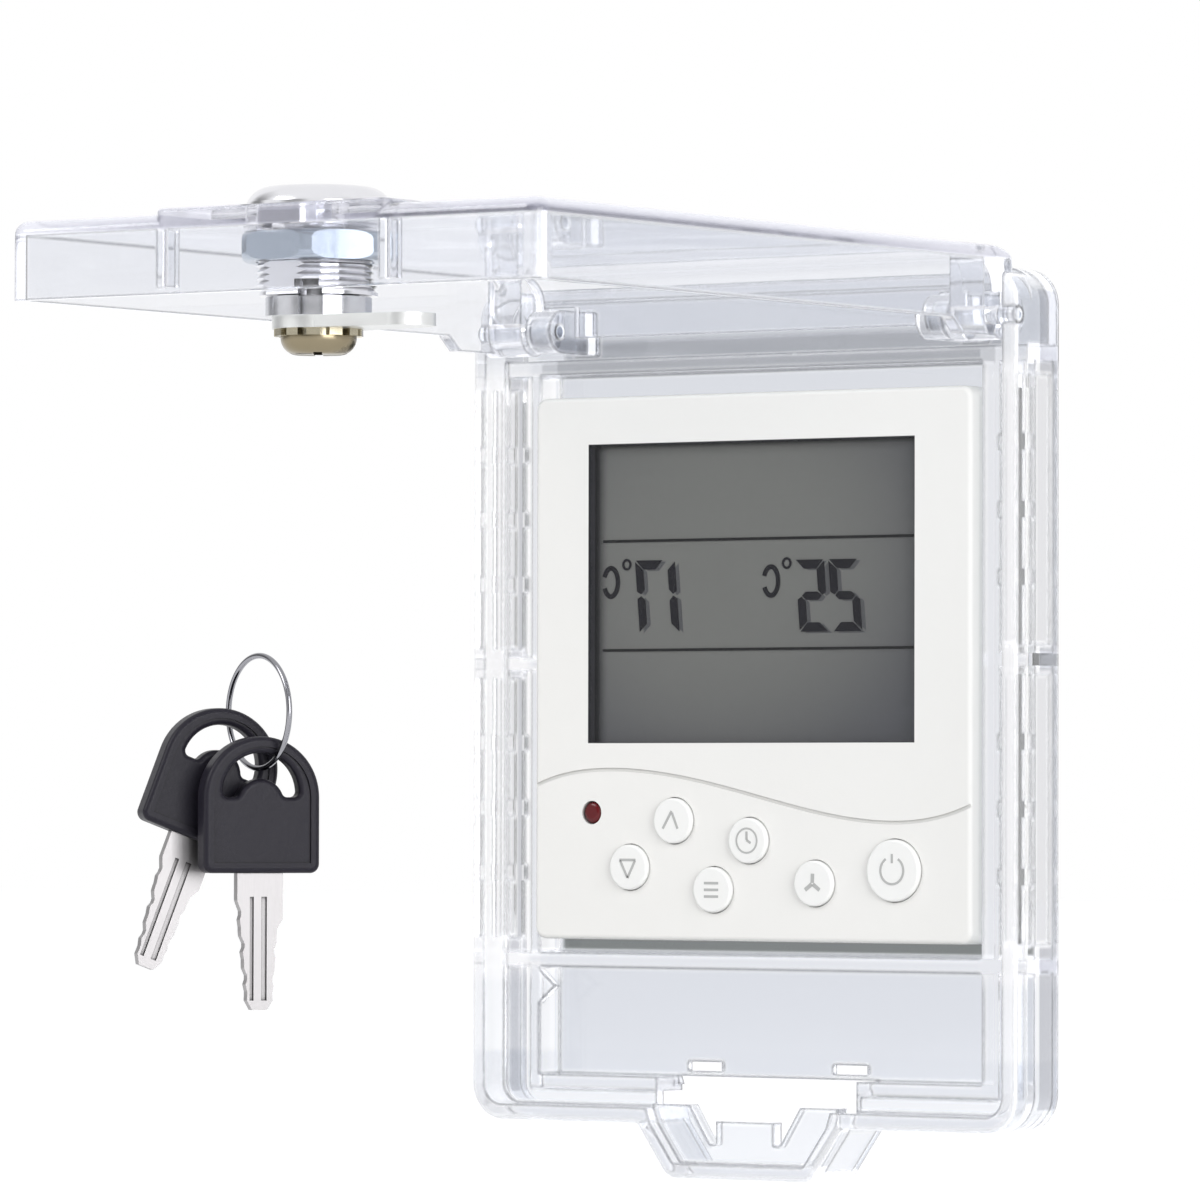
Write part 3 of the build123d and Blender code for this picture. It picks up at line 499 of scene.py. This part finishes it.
def lens_plastic():
    """Thin clear sheet that shows what is behind it, with a mirror sheen at low angles: the sheen
    rises from its straight-on share to 1 as the fifth power of the tilt, times sheen_strength."""
    straight_on, sheen_strength = 0.04, 0.42
    made = bpy.data.materials.new("lens_clear")
    start = empty_tree(made)
    tilt = start.node("LayerWeight", {"Blend": 0.5}, output="Facing")
    sheen = (tilt ** 5.0 * (1 - straight_on) + straight_on) * sheen_strength
    wave = noise(start, 60.0)
    face = principled(start, (1, 1, 1, 1), wave * 0.04 + 0.03, Metallic=1.0,
                      Normal=bump(start, wave, 0.02 * MM))
    through = start.node("BsdfTransparent", {"Color": (0.97, 0.975, 0.98, 1.0)})
    both = start.node("MixShader", {0: sheen, 1: through, 2: face})
    start.node("OutputMaterial", {"Surface": both})
    return made


def ridge(path, width, back, front, closed=False):
    """A flat bar carried along a path of (x, z) points, width wide at each point and standing from
    y = back out to y = front. Each point's offset is half the width along the path's normal. The
    grid is points by the bar's four corners, with a cap at each open end."""
    path = np.asarray(path, float)
    width = np.broadcast_to(np.asarray(width, float), len(path))
    ahead = np.roll(path, -1, 0) - np.roll(path, 1, 0) if closed else np.gradient(path, axis=0)
    ahead /= np.linalg.norm(ahead, axis=1, keepdims=True)
    offset = np.stack((-ahead[:, 1], ahead[:, 0]), 1) * width[:, None] / 2
    left, right_side = path + offset, path - offset
    corners = [np.insert(side, 1, y, axis=1)
               for side, y in ((left, back), (left, front), (right_side, front),
                               (right_side, back))]
    points = np.stack(corners, 1).reshape(-1, 3)
    count = len(path)
    row, column = np.meshgrid(np.arange(count if closed else count - 1), np.arange(4),
                              indexing="ij")
    next_row, next_column = (row + 1) % count, (column + 1) % 4
    faces = np.stack((row * 4 + column, row * 4 + next_column, next_row * 4 + next_column,
                      next_row * 4 + column), -1).reshape(-1, 4)
    if not closed:
        last = 4 * (count - 1)
        faces = np.vstack((faces, [(3, 2, 1, 0), (last, last + 1, last + 2, last + 3)]))
    return points, faces


def piece(name, bars, finish, body):
    """One mesh from several bars of points and faces, in millimetres, as a piece that rides on a
    body. Each bar's face numbers are moved up by the number of points before it."""
    starts = np.cumsum([0] + [len(points) for points, faces in bars]).tolist()
    points = np.vstack([points for points, faces in bars]) * MM
    faces = [[int(corner) + first for corner in face]
             for (bar_points, bar_faces), first in zip(bars, starts) for face in bar_faces]
    mesh = bpy.data.meshes.new(name)
    mesh.from_pydata(points.tolist(), [], faces)
    mesh.validate()
    shape = bmesh.new()
    shape.from_mesh(mesh)
    bmesh.ops.recalc_face_normals(shape, faces=shape.faces)
    shape.to_mesh(mesh)
    shape.free()
    mesh.materials.append(finish)
    made = bpy.data.objects.new(name, mesh)
    bpy.context.scene.collection.objects.link(made)
    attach(made, body)


def plates(outlines, back, front):
    """Flat plates from outlines of (x, z) corners: each outline is repeated at y = back and
    y = front, with a side face from each corner to the next and a face over each end."""
    made = []
    for outline in outlines:
        flat = np.asarray(outline, float)
        count = len(flat)
        points = np.vstack([np.insert(flat, 1, y, axis=1) for y in (back, front)])
        here = np.arange(count)
        ahead = (here + 1) % count
        sides = np.stack((here, ahead, ahead + count, here + count), 1)
        made.append((points, sides.tolist() + [here[::-1].tolist(), (here + count).tolist()]))
    return made


def figure(bars, left, right_side, top, middle, foot):
    """A figure of seven bars, as outlines, from the x and z of the bars' centre lines. Each bar is
    a trapezium or hexagon about its centre line, mitred to its neighbours across a narrow gap. x
    is then moved by lean times the height above the middle bar."""
    half, gap, lean = 0.75, 0.16, -0.085
    start_x, end_x = left + gap, right_side - gap
    shapes = {}
    for bar, height, side in (("top", top, 1), ("foot", foot, -1)):
        shapes[bar] = [(start_x - half, height + side * half), (end_x + half, height + side * half),
                       (end_x - half, height - side * half),
                       (start_x + half, height - side * half)]
    shapes["middle"] = [(start_x, middle), (start_x + half, middle + half * 0.9),
                        (end_x - half, middle + half * 0.9), (end_x, middle),
                        (end_x - half, middle - half * 0.9),
                        (start_x + half, middle - half * 0.9)]
    for across, x, side in (("left", left, -1), ("right", right_side, 1)):
        for along, end, way in (("upper", top, 1), ("lower", foot, -1)):
            shapes[across + "_" + along] = [
                (x + side * half, end - way * gap + way * half * 0.8),
                (x - side * half, end - way * (gap + half)),
                (x - side * half, middle + way * (gap + half)),
                (x, middle + way * gap),
                (x + side * half, middle + way * (gap + half * 0.6))]
    return [[(x + lean * (z - middle), z) for x, z in shapes[bar]] for bar in bars]


def ring(x, z, across, tall, width, back, front, start_turn=0.0, end_turn=1.0, count=40):
    """An oval line about (x, z), from one share of a turn to another; shares run from the top."""
    whole = end_turn - start_turn >= 1.0
    turn = 2 * pi * np.linspace(start_turn, end_turn, count, endpoint=not whole)
    path = np.stack((x + across * np.sin(turn), z + tall * np.cos(turn)), 1)
    return ridge(path, width, back, front, closed=whole)


paint(("lcd_panel",), display_glass())
paint(("lcd_window",), lens_plastic())
figure_back, figure_front = -7.93, -8.04
shadow_back, shadow_front = -7.905, -7.92
shadow_x, shadow_z = 0.75, -0.25
outlines = (
    figure(("top", "left_upper", "left_lower"), -22.7, -18.6, 17.0, 12.0, 6.4)
    + figure(("right_upper", "right_lower"), -20.4, -16.27, 17.0, 12.0, 6.4)
    + figure(("top", "right_upper", "middle", "left_lower", "foot"), 9.12, 13.24, 16.67, 11.5, 6.4)
    + figure(("top", "left_upper", "middle", "right_lower", "foot"), 15.62, 19.77, 16.67, 11.5,
             6.4))
units = []
for degree_x, degree_z, letter_x, letter_z in ((-25.6, 17.1, -28.8, 14.2),
                                               (6.25, 16.9, 3.15, 14.0)):
    units.append(ring(degree_x, degree_z, 0.72, 0.78, 0.4, figure_back, figure_front))
    units.append(ring(letter_x, letter_z, 1.4, 2.35, 0.8, figure_back, figure_front,
                      start_turn=-0.19, end_turn=0.68))
rules = [ridge([(-30.4, z), (31.9, z)], 0.46, figure_back, figure_front) for z in (21.0, 2.9)]
# Each figure casts a painted shadow: a grey copy of its plates, set just behind it and offset.
shadows = [[(x + shadow_x, z + shadow_z) for x, z in outline] for outline in outlines]
flat_print = {"roughness": 0.5, "grain": 0.001 * MM, "scale": 3000.0, "Specular_IOR_Level": 0.0}
piece("display_figures", plates(outlines, figure_back, figure_front) + units,
      moulded("segment_ink", rgb(9, 8, 20), **flat_print), "base")
piece("display_rules", rules, moulded("rule_ink", rgb(18, 18, 21), **flat_print), "base")
piece("display_shadows", plates(shadows, shadow_back, shadow_front),
      moulded("figure_shadow", rgb(84, 84, 86), **flat_print), "base")


# ------------------------------------------------------------------ status light
# A small domed lens in clear red plastic, pressed into the shell over a lamp that is off. It is
# deep red in the middle and nearly black round its rim, where the plastic is thick.
def light_lens():
    """Deep red clear plastic, darker where it is thick."""
    made = bpy.data.materials.new("light_red")
    start = empty_tree(made)
    rim = start.node("LayerWeight", {"Blend": 0.35}, output="Facing")
    drift = noise(start, 800.0)
    tone = (rim + drift * 0.2).between(rgb(104, 12, 20), rgb(30, 4, 8))
    shader = principled(start, tone, drift * 0.06 + 0.1, Coat_Weight=0.15, Coat_Roughness=0.04,
                        Specular_IOR_Level=0.25, Normal=bump(start, drift, 0.01 * MM))
    start.node("OutputMaterial", {"Surface": shader})
    return made


paint(("status_led",), light_lens())


# ------------------------------------------------------------------ buttons
# Six moulded caps in white plastic, which stand in the shell's cut-outs and press its switches.
# Each face carries a low raised mark in a slightly darker tone.
button_plastic = moulded("button_plastic", rgb(242, 242, 240), 0.4, 0.008 * MM)
mark_grey = moulded("mark_grey", rgb(180, 180, 179), 0.45, 0.006 * MM)
mark_back, mark_front = -10.57, -10.66


def line(*points, width=0.42):
    """A raised line through points of (x, z), given from a button's middle."""
    return ridge(points, width, mark_back, mark_front)


def shifted(bars, x, z):
    """The same bars, moved to a button's middle."""
    return [(points + (x, 0, z), faces) for points, faces in bars]


def mark_ring(radius, start_turn=0.0, end_turn=1.0, width=0.3):
    """A raised round line about a button's middle, whole or from one share of a turn to another."""
    return ring(0, 0, radius, radius, width, mark_back, mark_front, start_turn, end_turn)


marks = {
    "button_up": [line((-1.75, -1.3), (0.0, 1.6)), line((0.1, 1.3), (1.2, -1.3))],
    "button_down": [line((-1.6, 1.2), (1.6, 1.2)), line((-1.5, 1.1), (0.0, -1.75)),
                    line((0.0, -1.75), (1.5, 1.1))],
    "button_clock": [mark_ring(2.0), line((0.0, 1.5), (0.0, 0.1)),
                     line((0.0, 0.1), (0.8, -0.4))],
    "button_mode": [line((-1.4, 1.1), (1.4, 1.1)), line((-1.4, 0.0), (1.4, 0.0)),
                    line((-1.4, -1.1), (1.4, -1.1))],
    "button_fan": [line((0.0, 0.1), (0.05, 1.6), width=0.65),
                   line((-0.1, -0.1), (-1.4, -1.05), width=0.65),
                   line((0.1, -0.1), (1.4, -1.05), width=0.65)],
    "button_power": [mark_ring(2.2, start_turn=0.09, end_turn=0.91, width=0.38),
                     line((0.0, 1.2), (0.0, 2.7), width=0.4)],
}
for button, bars in marks.items():
    low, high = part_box(button)
    middle = (low + high) / 2 / MM
    paint((button,), button_plastic)
    piece(button + "_mark", shifted(bars, middle.x, middle.z), mark_grey, button)


# ------------------------------------------------------------------ keys
# Two flat keys that hang on a bright wire ring. Each is a stamped, nickel-plated blade moulded
# into a black plastic head with a coarse grain.
paint(("key_ring",), metal("ring_wire", rgb(150, 150, 155), 0.1))
# The blades' grooves and the heads' recesses get painted shade.
paint(("front_key_blade", "back_key_blade"),
      metal("key_nickel", rgb(158, 156, 157), 0.36, grain=0.2, streak=(1.0, 1.0, 0.12),
            scale=1600.0, recess=1.4 * MM, depth_of_shade=0.85))
paint(("front_key_head", "back_key_head"),
      moulded("head_black", rgb(33, 31, 40), 0.4, 0.03 * MM, 1400.0, groove_shade=0.8,
              Specular_IOR_Level=0.2))
